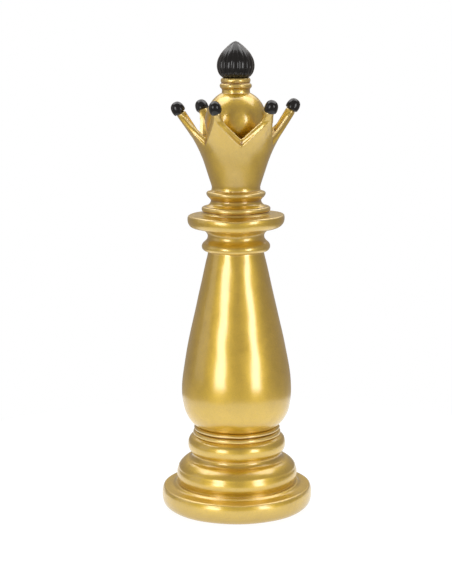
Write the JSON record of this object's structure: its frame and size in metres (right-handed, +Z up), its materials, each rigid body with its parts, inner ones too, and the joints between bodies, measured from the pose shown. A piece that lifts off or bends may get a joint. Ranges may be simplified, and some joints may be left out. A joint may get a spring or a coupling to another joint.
{
  "type": "decorative chess queen",
  "caption": "Tall turned chess queen for display: round plinth, stacked rings, tapered bulb, pointed crown with black bead tips, ball dome and fluted black bud.",
  "frame": {"origin": "centre of the felt's underside, where the piece stands, on the axis of the turned body", "axes": "+Z up along the turned axis, -Y towards the viewer, +X to the viewer's right"},
  "size_m": [0.125, 0.125, 0.385],
  "materials": {
    "gold_paint": "satin metallic gold paint on cast resin",
    "black_paint": "glossy black paint on cast resin",
    "steel": "zinc-plated steel",
    "ballast_iron": "plain cast iron",
    "plate_board": "matte black moulded plate",
    "felt": "black wool-look felt"
  },
  "bodies": {
    "root": {"base_plinth": "gold_paint", "lower_torus": "gold_paint", "upper_torus": "gold_paint", "bead_ring": "gold_paint", "body_bulb": "gold_paint", "neck_ring": "gold_paint", "collar_disc": "gold_paint", "crown_pedestal": "gold_paint", "crown_cup": "gold_paint", "crown_dome": "gold_paint", "finial_neck": "gold_paint", "finial_bud": "black_paint", "crown_bead_1": "black_paint", "crown_bead_2": "black_paint", "crown_bead_3": "black_paint", "crown_bead_4": "black_paint", "crown_bead_5": "black_paint", "crown_bead_6": "black_paint", "bead_pin_1": "steel", "bead_pin_2": "steel", "bead_pin_3": "steel", "bead_pin_4": "steel", "bead_pin_5": "steel", "bead_pin_6": "steel", "finial_dowel": "steel", "tie_rod": "steel", "tie_rod_nuts": "steel", "tie_rod_washers": "steel", "ballast_weight": "ballast_iron", "base_plate": "plate_board", "base_plate_screws": "steel", "felt_pad": "felt"}
  },
  "joints": []
}
